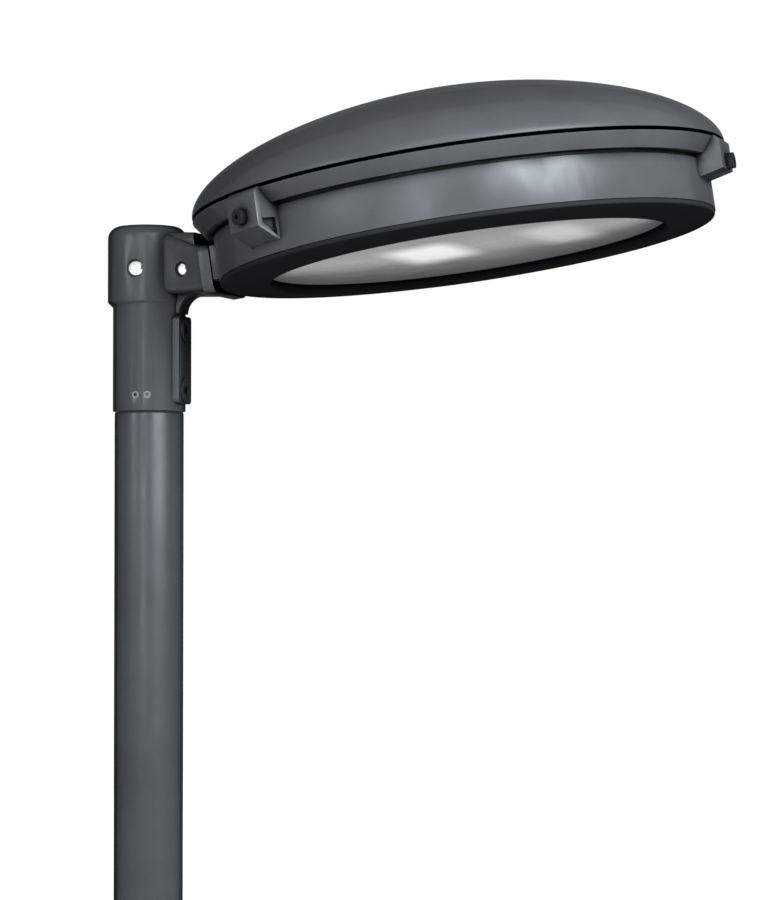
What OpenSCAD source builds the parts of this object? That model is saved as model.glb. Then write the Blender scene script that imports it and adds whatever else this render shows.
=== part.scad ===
// Post top light: a tilted round LED head on a cast adapter that caps a steel post.
// Millimetres. The post's axis is Z, its lower end is at z = 0, and the neck points along +X.
// The head has a frame of its own: its origin is the middle of the canopy's lower edge.

/* [Post] */
// Outside diameter of the post
post_d = 76; // [72:1:78]
// Wall of the post and of its spigot
post_wall = 3; // [2:0.5:4]
// Length of the post below the seal
post_len = 598; // [300:1:1200]
// Outside diameter of the reduced spigot on top of the post
spigot_d = 60; // [54:1:62]
// Length of the spigot that goes up into the adapter
spigot_len = 138; // [110:1:140]
// Thickness of the welded shoulder under the spigot
shoulder_t = 8; // [5:1:15]
// Thickness of the seal between the post and the adapter
post_seal_t = 2; // [1:0.5:4]

/* [Adapter] */
// Outside diameter of the sleeve over the spigot
sleeve_d = 80; // [78:1:84]
// Height of the adapter from the seal to the top of its hub
adapter_h = 204; // [190:1:240]
// Outside diameter of the hub at the top of the sleeve
hub_d = 87; // [86:1:92]
// Distance that the hub sits behind the post's axis
hub_back = 2.5; // [1:0.5:4]
// Height of the hub's straight part
hub_h = 84; // [78:1:90]
// Radius round the hub's top edge
hub_round = 14; // [6:1:18]
// Thickness of the hub's closed top
hub_top_t = 13; // [8:1:20]
// Radius of the wiring space inside the hub
hub_room_r = 25; // [18:1:27]
// Sliding clearance between the spigot and the sleeve
spigot_gap = 0.4; // [0.1:0.1:0.5]
// Width of the flat clamp pad on the sleeve
pad_w = 39; // [30:1:44]
// Length of the clamp pad
pad_len = 96; // [84:1:110]
// Distance of the pad's face from the post's axis
pad_face = 42; // [41.5:0.5:46]
// Height of the pad's lower end above the sleeve's lower end
pad_lift = 8; // [2:1:12]
// Height of the round bosses on the pad
pad_boss_h = 1.5; // [1:0.5:4]
// Diameter of the round bosses on the pad
pad_boss_d = 27; // [20:1:30]

/* [Neck] */
// Height of the neck where it leaves the hub
neck_h = 70; // [60:1:74]
// Width of the neck where it leaves the hub
neck_w = 52; // [44:1:60]
// Distance of the neck's top below the hub's top
neck_drop = 7; // [4:1:12]
// Width of the flange where the neck meets the head
flange_w = 104; // [98:1:112]
// Thickness of the neck's flange
flange_t = 12; // [8:1:14]
// Drop of the neck's top below the canopy's edge, where it meets the head
saddle_drop = 3; // [2:0.5:8]
// Gap between the top of the neck and the band
saddle_gap = 6; // [4:0.5:8]
// Radius of the neck's rounded corners
neck_round = 9; // [4:1:14]
// Radius of the fillet under the neck
gusset_r = 20; // [10:1:24]
// Width of the filleted web under the neck
gusset_w = 30; // [20:1:36]
// Thickness of the gasket between the neck and the head
neck_gasket_t = 2; // [1:0.5:4]
// Diameter of the cable way through the neck
cable_way_d = 20; // [14:1:20]

/* [Head] */
// Distance from the post's axis to the canopy's near edge
neck_reach = 70.2; // [66:0.2:80]
// Height of the hub's top above the canopy's near edge
near_edge_drop = 6.6; // [0:0.2:10]
// Upward tilt of the head in degrees
head_tilt = 8.5; // [6:0.5:10]
// Outside diameter of the canopy and the band
canopy_d = 576; // [560:1:620]
// Height of the canopy
canopy_h = 99; // [92:1:130]
// Wall of the canopy
canopy_wall = 3; // [2:0.5:5]
// Roundness of the canopy's crown, low numbers give a peaked crown
crown_power = 1.7; // [1.4:0.05:2.2]
// Roundness of the canopy's shoulder
shoulder_power = 1.85; // [1.7:0.05:2.4]
// Width of the canopy's inner rim that presses on the gasket
canopy_rim_w = 31; // [28:1:36]
// Thickness of the canopy's inner rim
canopy_rim_t = 4; // [3:0.5:6]
// Open seam between the canopy and the band
seam_gap = 4; // [3:0.5:5]
// Height of the bevelled band
band_h = 15.6; // [12:0.2:18]
// Distance that the band tapers inward towards its lower edge
band_taper = 12; // [8:1:16]
// Distance that the drum stands in from the canopy's edge
drum_inset = 20; // [18:1:22]
// Wall of the drum
drum_wall = 4; // [3:0.5:5]
// Depth from the canopy's edge to the drum's lower edge
drum_depth = 70; // [67:1:76]

/* [Glass and frame] */
// Depth of the frame below the drum
frame_depth = 12; // [10:1:15]
// Radius round the frame's outer edge
frame_round = 6; // [3:1:8]
// Distance that the frame stands in from the drum's wall
frame_step = 1; // [0.5:0.5:2]
// Width of the frame round the light opening
frame_w = 52; // [48:1:56]
// Depth of the glass inside the light opening
glass_recess = 13; // [12:0.5:14]
// Thickness of the glass
glass_t = 5; // [4:0.5:6]
// Distance that the glass runs in behind the frame
glass_lap = 21; // [18:1:22]
// Gap round the edge of the glass
glass_gap = 1.5; // [1:0.5:3]
// Thickness of the gasket on the glass
glass_gasket_t = 2; // [1:0.5:3]
// Thickness of the ledge that the glass is clamped to
ledge_t = 5; // [4:0.5:6]
// Number of screws in the frame
frame_screw_n = 6; // [6, 12]

/* [Lugs] */
// Width of a lug
lug_w = 49; // [44:1:56]
// Distance that a lug's face stands out past the canopy's edge
lug_out = 5; // [4:0.5:7]
// Height of the front lug's outer face
front_lug_h = 34; // [33:1:38]
// Drop of the front lug's underside towards the drum
front_lug_slope = 6; // [4:1:10]
// Height of a rear lug's outer face
rear_lug_h = 39; // [36:1:42]
// Drop of a rear lug's underside towards the drum
rear_lug_slope = 17; // [12:1:20]
// Angle between the front lug and each rear lug
rear_lug_angle = 124; // [116:1:128]
// Height of a lug's top above the band
lug_rise = 1; // [0.5:0.5:2]
// Chamfer on a lug's top edge
lug_chamfer = 5; // [2:0.5:5]
// Depth of the canopy screws below the canopy's edge
lug_screw_z = 29.5; // [28:0.5:30]
// Width of the canopy's tongue in each lug
tongue_w = 24; // [18:1:28]
// Thickness of the canopy's tongue
tongue_t = 5; // [4:0.5:5.5]
// Clearance round a tongue in its pocket
tongue_gap = 4; // [2.5:0.5:4]

/* [Light engine] */
// Thickness of the heat sink's plate
sink_t = 6; // [4:1:8]
// Gap between the heat sink's plate and the drum's wall
sink_gap = 10; // [6:1:14]
// Height of the heat sink's fins
fin_h = 26; // [16:1:28]
// Thickness of a fin
fin_t = 3; // [2:0.5:4]
// Distance from fin to fin
fin_pitch = 14; // [14:1:20]
// Length of an LED module
module_l = 140; // [130:1:150]
// Width of an LED module
module_w = 70; // [66:1:76]
// Distance between the two LED modules
module_pitch = 140; // [120:1:160]
// Distance that the modules sit outward of the head's middle
module_shift = 25; // [0:1:40]
// LED rows across a module
led_rows = 4; // [2:1:4]
// LEDs in each row
led_columns = 8; // [4:1:8]
// Distance from LED to LED
led_pitch = 16; // [14:0.5:16]
// Thickness of an LED board
board_t = 1.6; // [1:0.2:2]
// Thickness of a lens plate without its lenses
lens_plate_t = 2; // [1.6:0.2:2.4]
// Diameter of one lens
lens_d = 13; // [9:1:14]

/* [Gear] */
// Length of the gear tray
tray_l = 300; // [280:1:320]
// Width of the gear tray
tray_w = 200; // [196:1:220]
// Thickness of the gear tray's sheet
tray_t = 2; // [1.5:0.5:3]
// Free height between the fins and the tray
tray_gap = 4; // [2:1:6]
// Length of the driver
driver_l = 170; // [140:1:180]
// Width of the driver
driver_w = 68; // [50:1:74]
// Height of the driver
driver_h = 38; // [28:1:42]

/* [Hidden] */
$fn = 96;
eps = 1;
graphite = [0.17, 0.18, 0.20];
dark_rubber = [0.05, 0.05, 0.05];
stainless = [0.72, 0.73, 0.74];
pale = [0.86, 0.86, 0.84];

// Post and adapter
post_r = post_d / 2;
spigot_r = spigot_d / 2;
sleeve_r = sleeve_d / 2;
hub_r = hub_d / 2;
hub_blend = 6.5;
adapter_z = post_len + post_seal_t;
hub_top = adapter_z + adapter_h;
hub_low = hub_top - hub_h;
spigot_end_gap = 6;
spigot_stop_z = post_len + spigot_len + spigot_end_gap;
hub_room_top = hub_top - hub_top_t;
pad_low = adapter_z + pad_lift;
pad_top = pad_low + pad_len;
pad_round = 5;
pad_boss_inset = pad_boss_d / 2 + 1.5;
neck_top = hub_top - neck_drop;
neck_low = neck_top - neck_h;
neck_start = 18;

// Screws
hub_screw_d = 12;
hub_screw_head_d = 17;
hub_screw_z = hub_low + 35;
hub_seat = hub_r - 1.5;
neck_screw_d = 8;
neck_screw_head_d = 14;
neck_screw_at = 0.56;
neck_screw_drop = 9;
neck_screw_z = (neck_top + neck_low) / 2 - neck_screw_drop;
neck_screw_l = 12;
set_screw_d = 8;
set_screw_l = 9;
set_screw_z = adapter_z + 17;
set_screw_angles = [-91, -72];
clamp_screw_d = 12;
clamp_screw_l = 11;
thread_gap = 0.05;
socket_share = 0.55;

// The head's place
rim_r = canopy_d / 2;
head_reach = neck_reach + rim_r * cos(head_tilt);
head_z = hub_top - near_edge_drop + rim_r * sin(head_tilt);

// Head levels, measured down from the canopy's edge
flange_top_z = -seam_gap;
band_low_z = flange_top_z - band_h;
drum_low_z = -drum_depth;
frame_low_z = drum_low_z - frame_depth;
glass_low_z = frame_low_z + glass_recess;
glass_top_z = glass_low_z + glass_t;
ledge_low_z = glass_top_z + glass_gasket_t;
ledge_top_z = ledge_low_z + ledge_t;
sink_boss_h = 5;
sink_low_z = ledge_top_z + sink_boss_h;
sink_top_z = sink_low_z + sink_t;
fin_top_z = sink_top_z + fin_h;
tray_low_z = fin_top_z + tray_gap;
tray_top_z = tray_low_z + tray_t;

// Head radii
canopy_in_r = rim_r - canopy_wall;
rim_in_r = canopy_in_r - canopy_rim_w + 1;
band_low_r = rim_r - band_taper;
drum_r = rim_r - drum_inset;
drum_in_r = drum_r - drum_wall;
shadow_h = 4;
shadow_depth = 2;
gasket_in_r = drum_in_r + 1.8;
gasket_w = 4.4;
groove_gap = 0.3;
groove_depth = 3;
frame_r = drum_r - frame_step;
opening_r = frame_r - frame_w;
glass_r = opening_r + glass_lap;
frame_step_r = glass_r + glass_gap;
frame_lip_w = 7;
frame_skin = 7;
frame_chamfer = 2;
frame_slope = atan2(frame_depth - frame_round, frame_w - frame_round - frame_chamfer);
foot_in_r = drum_r - 10;
ledge_in_r = opening_r - 5;
glass_gasket_w = 20;
frame_screw_r = foot_in_r - 3;
frame_screw_d = 5;
frame_screw_head_d = 8.4;
frame_screw_head_h = 3.6;
frame_screw_bite = 4.5;

// Neck joint on the drum, in the head's frame
neck_face = drum_r + 4;
neck_pad_in = drum_in_r - 9;
neck_pad_top = band_low_z - shadow_h - 0.4;
neck_pad_low = ledge_low_z + 1;
flange_face = neck_face + neck_gasket_t;
flange_high = band_low_z - 1;
flange_low = frame_low_z + 8;
cable_z = neck_pad_top - 12;
neck_bolt_d = 8;
neck_bolt_y = 38;
neck_bolt_zs = [neck_pad_top - 6, neck_pad_top - 26];
neck_bolt_head_d = 13;
neck_bolt_head_h = 8;

// Lugs
lug_reach = rim_r + lug_out;
lug_top_z = flange_top_z + lug_rise;
tongue_in = rim_r - 12;
tongue_out = tongue_in + tongue_t;
pocket_in = tongue_in - tongue_gap;
pocket_out = tongue_out + tongue_gap + 1;
canopy_screw_d = 6;
canopy_screw_head_d = 17;
canopy_screw_head_h = 8;
tongue_low_z = -lug_screw_z - canopy_screw_d / 2 - 2.5;
pocket_low_z = tongue_low_z - 1;
recess_depth = 5;
recess_h = 8;
recess_wall = 6;

// Light engine
sink_r = drum_in_r - sink_gap;
sink_boss_r = drum_in_r - 20;
sink_boss_d = 16;
sink_screw_d = 6;
sink_screw_head_d = 10;
sink_screw_head_h = 5;
fin_reach = sink_r - 40;
fin_rows = floor((fin_reach - 8) / fin_pitch);
sink_notch_x = neck_pad_in - 15;
sink_notch_w = 2 * neck_bolt_y + neck_bolt_head_d + 20;
reflector_t = 1;
reflector_r = opening_r + 6;
reflector_margin = 3;
reflector_screw_r = opening_r - 14;
reflector_screw_d = 4;
board_low_z = sink_low_z - board_t;
lens_low_z = board_low_z - lens_plate_t;
lens_margin = 2;
chip_w = 3.5;
chip_h = 1;
chip_gap = 0.4;
lens_screw_d = 3;
module_xs = [module_shift - module_pitch / 2, module_shift + module_pitch / 2];

// Gear
standoff_d = 8;
standoff_x = tray_l / 2 - 12;
standoff_y = (floor((tray_w / 2 - 8) / fin_pitch) - 0.5) * fin_pitch;
tray_screw_d = 4;
tray_screw_head_h = 2.5;
tray_fold = 10;
driver_y = -44;
driver_screw_x = driver_l / 2 - 6;
driver_foot_t = 3;
driver_foot_l = 12;
surge_size = [62, 42, 28];
surge_at = [-60, 45];
terminal_size = [64, 24, 20];
terminal_at = [50, 45];
terminal_ways = 5;
gland_flats = 24;
gland_head_l = 9;

// Canopy outline: height at share t of the radius
function crown(t) = pow(max(0, 1 - pow(t, crown_power)), 1 / shoulder_power);
function crown_points(r, h, steps) = [for (i = [0:steps])
    let (t = sin(90 * i / steps)) [r * t, h * crown(t)]];

module in_head() {
    translate([head_reach, 0, head_z]) rotate([0, -head_tilt, 0]) children();
}

module ring(r_out, r_in, z_low, z_high) {
    rotate_extrude() translate([r_in, z_low]) square([r_out - r_in, z_high - z_low]);
}

module rounded_plate(w, h, r) {
    square([w - 2 * r, h], center = true);
    square([w, h - 2 * r], center = true);
    for (x = [-1, 1], y = [-1, 1])
        translate([x * (w / 2 - r), y * (h / 2 - r)]) circle(r = r, $fn = 48);
}

// A socket screw along -Z: its head rests on z = 0
module socket_screw(d, head_d, head_h, length) {
    difference() {
        union() {
            cylinder(d = head_d, h = head_h);
            translate([0, 0, -length]) cylinder(d = d, h = length + eps);
        }
        translate([0, 0, head_h * (1 - socket_share)]) cylinder(d = d * 0.95, h = head_h, $fn = 6);
    }
}

// A socket set screw along -Z: its outer end is at z = 0
module set_screw(d, length) {
    difference() {
        translate([0, 0, -length]) cylinder(d = d, h = length);
        translate([0, 0, -length * 0.5]) cylinder(d = d * 0.55, h = length, $fn = 6);
    }
}

// A low domed screw along -Z: its head rests on z = 0
module button_screw(d, head_d, head_h, length) {
    cap_r = (head_d * head_d / 4 + head_h * head_h) / (2 * head_h);
    difference() {
        union() {
            intersection() {
                translate([0, 0, head_h - cap_r]) sphere(r = cap_r);
                cylinder(d = head_d, h = head_h + eps);
            }
            translate([0, 0, -length]) cylinder(d = d, h = length + eps / 2);
        }
        translate([0, 0, head_h * (1 - socket_share)]) cylinder(d = d * 0.5, h = head_h, $fn = 6);
    }
}

module post() {
    bore_r = post_r - post_wall;
    spigot_in = spigot_r - post_wall;
    spigot_top = post_len + spigot_len;
    color(graphite) rotate_extrude() polygon([[bore_r, 0], [post_r, 0], [post_r, post_len],
        [spigot_r, post_len], [spigot_r, spigot_top], [spigot_in, spigot_top],
        [spigot_in, post_len - shoulder_t], [bore_r, post_len - shoulder_t]]);
}

module post_seal() {
    color(dark_rubber) ring(post_r - 0.5, spigot_r + 0.2, post_len, adapter_z);
}

module hub_solid() {
    corner = [hub_r - hub_round, hub_top - hub_round];
    translate([-hub_back, 0, 0]) rotate_extrude() polygon(concat(
        [[0, hub_low - hub_blend], [hub_r - hub_blend, hub_low - hub_blend], [hub_r, hub_low]],
        [for (a = [0:15:90]) corner + hub_round * [cos(a), sin(a)]], [[0, hub_top]]));
}

module clamp_pad() {
    pad_mid = (pad_low + pad_top) / 2;
    translate([0, 0, pad_mid]) rotate([0, 90, 0])
        linear_extrude(height = pad_face) rounded_plate(pad_len, pad_w, pad_round);
    for (z = clamp_zs())
        translate([0, 0, z]) rotate([0, 90, 0]) cylinder(d = pad_boss_d, h = pad_face + pad_boss_h);
}

function clamp_zs() = [pad_low + pad_boss_inset, pad_top - pad_boss_inset];

// Four rounded corners of one end of the neck, standing in the plane x = 0
module neck_end(w, z_low, z_high) {
    for (y = [-1, 1], z = [z_low + neck_round, z_high - neck_round])
        translate([0, y * (w / 2 - neck_round), z]) rotate([0, 90, 0])
            cylinder(r = neck_round, h = 1, $fn = 32);
}

module neck_loft() {
    hull() {
        translate([neck_start, 0, 0]) neck_end(neck_w, neck_low, neck_top);
        in_head() translate([-flange_face - flange_t, 0, 0])
            neck_end(flange_w - 8, flange_low + 3, flange_high - 1);
    }
    hull() {
        translate([neck_start, 0, 0]) neck_end(neck_w - 12, neck_low + 20, neck_top);
        in_head() translate([-rim_r - saddle_gap - 1, 0, 0])
            neck_end(flange_w - 28, flange_high - 20, -saddle_drop);
    }
}

module neck_flange() {
    mid = (flange_high + flange_low) / 2;
    in_head() translate([-flange_face - flange_t, 0, mid]) rotate([0, 90, 0])
        linear_extrude(height = flange_t) rounded_plate(flange_high - flange_low, flange_w, neck_round);
}

module gusset() {
    low = neck_low - gusset_r;
    rotate([90, 0, 0]) linear_extrude(height = gusset_w, center = true) difference() {
        translate([sleeve_r - 8, low]) square([gusset_r + 8, gusset_r + neck_round]);
        translate([sleeve_r + gusset_r, low]) circle(r = gusset_r);
    }
}

// Places children on the neck's near side, with Z along the side's outward normal
module on_neck_side() {
    near = [neck_start, neck_w / 2];
    joint = flange_face + flange_t + (neck_screw_z - head_z) * sin(head_tilt);
    far = [head_reach - joint / cos(head_tilt), flange_w / 2 - 4];
    flare = atan2(far[1] - near[1], far[0] - near[0]);
    at = near + neck_screw_at * (far - near);
    translate([at[0], -at[1], neck_screw_z]) rotate([0, 0, -flare]) rotate([90, 0, 0])
        translate([0, 0, -1.2]) children();
}

module post_adapter() {
    bore_r = spigot_r + spigot_gap;
    color(graphite) difference() {
        union() {
            translate([0, 0, adapter_z]) cylinder(r = sleeve_r, h = adapter_h - 30);
            hub_solid();
            clamp_pad();
            neck_loft();
            neck_flange();
            gusset();
        }
        translate([0, 0, adapter_z - eps]) cylinder(r = bore_r, h = spigot_stop_z - adapter_z + eps);
        translate([0, 0, adapter_z]) cylinder(r = hub_room_r, h = hub_room_top - adapter_z);
        in_head() translate([-head_reach, 0, cable_z]) rotate([0, 90, 0])
            cylinder(d = cable_way_d, h = head_reach);
        in_head() for (y = [-1, 1], z = neck_bolt_zs)
            translate([-flange_face - flange_t + 2, y * neck_bolt_y, z]) rotate([0, 90, 0])
                cylinder(d = neck_bolt_d + 2 * thread_gap, h = flange_t);
        translate([0, -hub_seat, hub_screw_z]) rotate([90, 0, 0])
            cylinder(d = hub_screw_head_d + 3, h = hub_r);
        translate([0, 0, hub_screw_z]) rotate([90, 0, 0])
            cylinder(d = hub_screw_d + 2 * thread_gap, h = hub_r);
        on_neck_side() {
            cylinder(d = neck_screw_head_d + 3, h = 20);
            translate([0, 0, -neck_screw_l]) cylinder(d = neck_screw_d + 2 * thread_gap, h = 20);
        }
        for (a = set_screw_angles)
            rotate([0, 0, a]) translate([0, 0, set_screw_z]) rotate([0, 90, 0])
                cylinder(d = set_screw_d + 2 * thread_gap, h = sleeve_r + eps);
        for (z = clamp_zs())
            translate([0, 0, z]) rotate([0, 90, 0])
                cylinder(d = clamp_screw_d + 2 * thread_gap, h = pad_face + pad_boss_h + eps);
    }
}

module hub_screw() {
    color(stainless) translate([0, -hub_seat, hub_screw_z]) rotate([90, 0, 0])
        button_screw(hub_screw_d, hub_screw_head_d, 4, hub_seat - hub_room_r);
}

module neck_screw() {
    color(stainless) on_neck_side() button_screw(neck_screw_d, neck_screw_head_d, 4, neck_screw_l);
}

module sleeve_set_screws() {
    color(stainless) for (a = set_screw_angles)
        rotate([0, 0, a]) translate([sleeve_r - 0.4, 0, set_screw_z]) rotate([0, 90, 0])
            set_screw(set_screw_d, set_screw_l);
}

module clamp_screws() {
    color(graphite) for (z = clamp_zs())
        translate([pad_face + pad_boss_h - 0.5, 0, z]) rotate([0, 90, 0])
            set_screw(clamp_screw_d, clamp_screw_l);
}

module neck_gasket() {
    color(dark_rubber) in_head() difference() {
        translate([-flange_face, 0, (neck_pad_top + neck_pad_low) / 2]) rotate([0, 90, 0])
            linear_extrude(height = neck_gasket_t)
                rounded_plate(neck_pad_top - neck_pad_low, flange_w - 8, 6);
        translate([-flange_face - eps, 0, cable_z]) rotate([0, 90, 0])
            cylinder(d = cable_way_d, h = neck_gasket_t + 2 * eps);
        for (y = [-1, 1], z = neck_bolt_zs)
            translate([-flange_face - eps, y * neck_bolt_y, z]) rotate([0, 90, 0])
                cylinder(d = neck_bolt_d + 1, h = neck_gasket_t + 2 * eps);
    }
}

module neck_bolts() {
    color(stainless) in_head() for (y = [-1, 1], z = neck_bolt_zs)
        translate([-neck_pad_in, y * neck_bolt_y, z]) rotate([0, 90, 0])
            socket_screw(neck_bolt_d, neck_bolt_head_d, neck_bolt_head_h,
                flange_face - neck_pad_in + flange_t - 3);
}

module lug(h, slope) {
    step_z = flange_top_z - 2;
    step_r = gasket_in_r + gasket_w + 2;
    low = flange_top_z - h;
    rotate([90, 0, 0]) linear_extrude(height = lug_w, center = true)
        polygon([[drum_in_r + 1, step_z], [step_r, step_z], [step_r, lug_top_z],
            [lug_reach - lug_chamfer, lug_top_z], [lug_reach, lug_top_z - lug_chamfer],
            [lug_reach, low], [drum_in_r + 1, low - slope]]);
}

module rear_lug() {
    low = flange_top_z - rear_lug_h;
    root = low - rear_lug_slope;
    difference() {
        lug(rear_lug_h, rear_lug_slope);
        for (side = [-1, 1])
            translate([0, side * (lug_w / 2), 0]) rotate([90, 0, 0])
                linear_extrude(height = 2 * recess_depth, center = true)
                    polygon([[drum_r + 2, low + recess_h], [lug_reach - recess_wall, low + recess_h],
                        [lug_reach - recess_wall, low + 3], [drum_r + 2, root + recess_wall]]);
    }
}

module lug_pocket() {
    w = tongue_w + 2 * tongue_gap;
    translate([pocket_in, -w / 2, pocket_low_z])
        cube([pocket_out - pocket_in, w, -pocket_low_z]);
    translate([pocket_in, 0, -lug_screw_z]) rotate([0, 90, 0])
        cylinder(d = canopy_screw_d + 0.6, h = lug_reach - pocket_in + eps);
}

module each_rear_lug() {
    for (side = [-1, 1]) rotate([0, 0, side * rear_lug_angle]) children();
}

module each_lug() {
    children();
    each_rear_lug() children();
}

module each_of(n, r, start) {
    for (i = [0:n - 1]) rotate([0, 0, start + i * 360 / n]) translate([r, 0, 0]) children();
}

module housing() {
    color(graphite) in_head() difference() {
        union() {
            rotate_extrude() polygon([[drum_in_r, flange_top_z], [rim_r, flange_top_z],
                [band_low_r, band_low_z], [drum_r - shadow_depth, band_low_z],
                [drum_r - shadow_depth, band_low_z - shadow_h], [drum_r, band_low_z - shadow_h],
                [drum_r, drum_low_z],
                [foot_in_r, drum_low_z], [foot_in_r, ledge_low_z], [ledge_in_r, ledge_low_z],
                [ledge_in_r, ledge_top_z], [drum_in_r, ledge_top_z]]);
            lug(front_lug_h, front_lug_slope);
            each_rear_lug() rear_lug();
            translate([-neck_face, -flange_w / 2, neck_pad_low])
                cube([neck_face - neck_pad_in, flange_w, neck_pad_top - neck_pad_low]);
            each_of(4, sink_boss_r, 45) translate([0, 0, ledge_low_z + eps])
                cylinder(d = sink_boss_d, h = sink_low_z - ledge_low_z - eps);
        }
        ring(gasket_in_r + gasket_w + groove_gap, gasket_in_r - groove_gap,
            flange_top_z - groove_depth, flange_top_z + eps);
        each_lug() lug_pocket();
        each_of(4, sink_boss_r, 45) translate([0, 0, ledge_low_z - eps])
            cylinder(d = sink_screw_d + 2 * thread_gap, h = 20);
        each_of(frame_screw_n, frame_screw_r, 30) translate([0, 0, ledge_low_z - eps])
            cylinder(d = frame_screw_d + 0.6, h = ledge_t + 2 * eps);
        translate([-neck_face - eps, 0, cable_z]) rotate([0, 90, 0])
            cylinder(d = cable_way_d + 2 * thread_gap, h = neck_face - neck_pad_in + 2 * eps);
        for (y = [-1, 1], z = neck_bolt_zs)
            translate([-neck_face - eps, y * neck_bolt_y, z]) rotate([0, 90, 0])
                cylinder(d = neck_bolt_d + 0.8, h = neck_face - neck_pad_in + 2 * eps);
    }
}

module canopy() {
    steps = 24;
    outer = crown_points(rim_r, canopy_h, steps);
    inner = crown_points(canopy_in_r, canopy_h - canopy_wall, steps);
    color(graphite) in_head() difference() {
        union() {
            rotate_extrude() polygon(concat(outer, [for (i = [steps:-1:0]) inner[i]]));
            ring(canopy_in_r + 1, rim_in_r, 0, canopy_rim_t);
            each_lug() translate([tongue_in, -tongue_w / 2, tongue_low_z])
                cube([tongue_t, tongue_w, canopy_rim_t - tongue_low_z]);
        }
        each_lug() translate([tongue_in - eps, 0, -lug_screw_z]) rotate([0, 90, 0])
            cylinder(d = canopy_screw_d + 2 * thread_gap, h = tongue_t + 2 * eps);
    }
}

module canopy_gasket() {
    color(dark_rubber) in_head()
        ring(gasket_in_r + gasket_w, gasket_in_r, flange_top_z - groove_depth, 0);
}

module canopy_screws() {
    color(graphite) in_head() each_lug()
        translate([lug_reach, 0, -lug_screw_z]) rotate([0, 90, 0])
            socket_screw(canopy_screw_d, canopy_screw_head_d, canopy_screw_head_h,
                lug_reach - tongue_in + 2);
}

module glass_frame() {
    corner = [frame_r - frame_round, drum_low_z];
    turn = 90 - frame_slope;
    channel_z = frame_low_z + frame_skin;
    color(graphite) in_head() difference() {
        rotate_extrude() polygon(concat(
            [[opening_r, frame_low_z + frame_chamfer], [opening_r + frame_chamfer, frame_low_z]],
            [for (i = [0:9]) corner + frame_round * [cos(turn * (1 - i / 9)), -sin(turn * (1 - i / 9))]],
            [[frame_step_r, drum_low_z], [frame_step_r, channel_z],
            [opening_r + frame_lip_w, channel_z], [opening_r + frame_lip_w, glass_low_z],
            [opening_r, glass_low_z]]));
        each_of(frame_screw_n, frame_screw_r, 30) translate([0, 0, drum_low_z - frame_screw_bite])
            cylinder(d = frame_screw_d + 2 * thread_gap, h = frame_depth);
    }
}

module front_glass() {
    color([0.8, 0.84, 0.84, 0.6]) in_head() translate([0, 0, glass_low_z])
        cylinder(r = glass_r, h = glass_t);
}

module glass_gasket() {
    outer = glass_r - 2;
    color(dark_rubber) in_head() ring(outer, outer - glass_gasket_w, glass_top_z, ledge_low_z);
}

module frame_screws() {
    length = ledge_top_z - drum_low_z + frame_screw_bite - 1;
    color(stainless) in_head() each_of(frame_screw_n, frame_screw_r, 30)
        translate([0, 0, ledge_top_z])
            socket_screw(frame_screw_d, frame_screw_head_d, frame_screw_head_h, length);
}

module heat_sink() {
    color([0.6, 0.61, 0.62]) in_head() difference() {
        union() {
            translate([0, 0, sink_low_z]) cylinder(r = sink_r, h = sink_t);
            for (i = [-fin_rows:fin_rows]) {
                y = i * fin_pitch;
                half = sqrt(fin_reach * fin_reach - y * y);
                translate([-half, y - fin_t / 2, sink_top_z - eps]) cube([2 * half, fin_t, fin_h + eps]);
            }
        }
        translate([-sink_r - eps, -sink_notch_w / 2, sink_low_z - eps])
            cube([sink_r - sink_notch_x + eps, sink_notch_w, sink_t + fin_h + 2 * eps]);
        each_of(4, sink_boss_r, 45) translate([0, 0, sink_low_z - eps])
            cylinder(d = sink_screw_d + 0.6, h = sink_t + 2 * eps);
        each_of(6, reflector_screw_r, 30) translate([0, 0, sink_low_z - eps])
            cylinder(d = reflector_screw_d + 2 * thread_gap, h = sink_t);
        each_module() each_lens_screw() translate([0, 0, sink_low_z - eps])
            cylinder(d = lens_screw_d + 2 * thread_gap, h = sink_t);
        each_standoff() translate([0, 0, sink_top_z - 4])
            cylinder(d = tray_screw_d + 2 * thread_gap, h = 5);
    }
}

module heat_sink_screws() {
    color(stainless) in_head() each_of(4, sink_boss_r, 45) translate([0, 0, sink_top_z])
        socket_screw(sink_screw_d, sink_screw_head_d, sink_screw_head_h,
            sink_top_z - ledge_low_z - 1);
}

module each_module() {
    for (x = module_xs) translate([x, 0, 0]) children();
}

module each_lens_screw() {
    for (x = [-1, 1], y = [-1, 1])
        translate([x * (module_w / 2 - 5), y * (module_l / 2 - 5), 0]) children();
}

module each_led() {
    for (i = [0:led_rows - 1], j = [0:led_columns - 1])
        translate([(i - (led_rows - 1) / 2) * led_pitch, (j - (led_columns - 1) / 2) * led_pitch, 0])
            children();
}

module reflector_plate() {
    color(pale) in_head() difference() {
        translate([0, 0, sink_low_z - reflector_t]) cylinder(r = reflector_r, h = reflector_t);
        each_module() translate([0, 0, sink_low_z])
            cube([module_w + 2 * reflector_margin, module_l + 2 * reflector_margin, 4], center = true);
        each_of(6, reflector_screw_r, 30) translate([0, 0, sink_low_z - reflector_t - eps])
            cylinder(d = reflector_screw_d + 0.4, h = reflector_t + 2 * eps);
        translate([-sink_r - eps, -sink_notch_w / 2, sink_low_z - reflector_t - eps])
            cube([sink_r - sink_notch_x + eps, sink_notch_w, reflector_t + 2 * eps]);
    }
}

module reflector_screws() {
    color(stainless) in_head() each_of(6, reflector_screw_r, 30)
        translate([0, 0, sink_low_z - reflector_t]) rotate([180, 0, 0])
            button_screw(reflector_screw_d, 7, 2.2, reflector_t + sink_t - 2);
}

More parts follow.
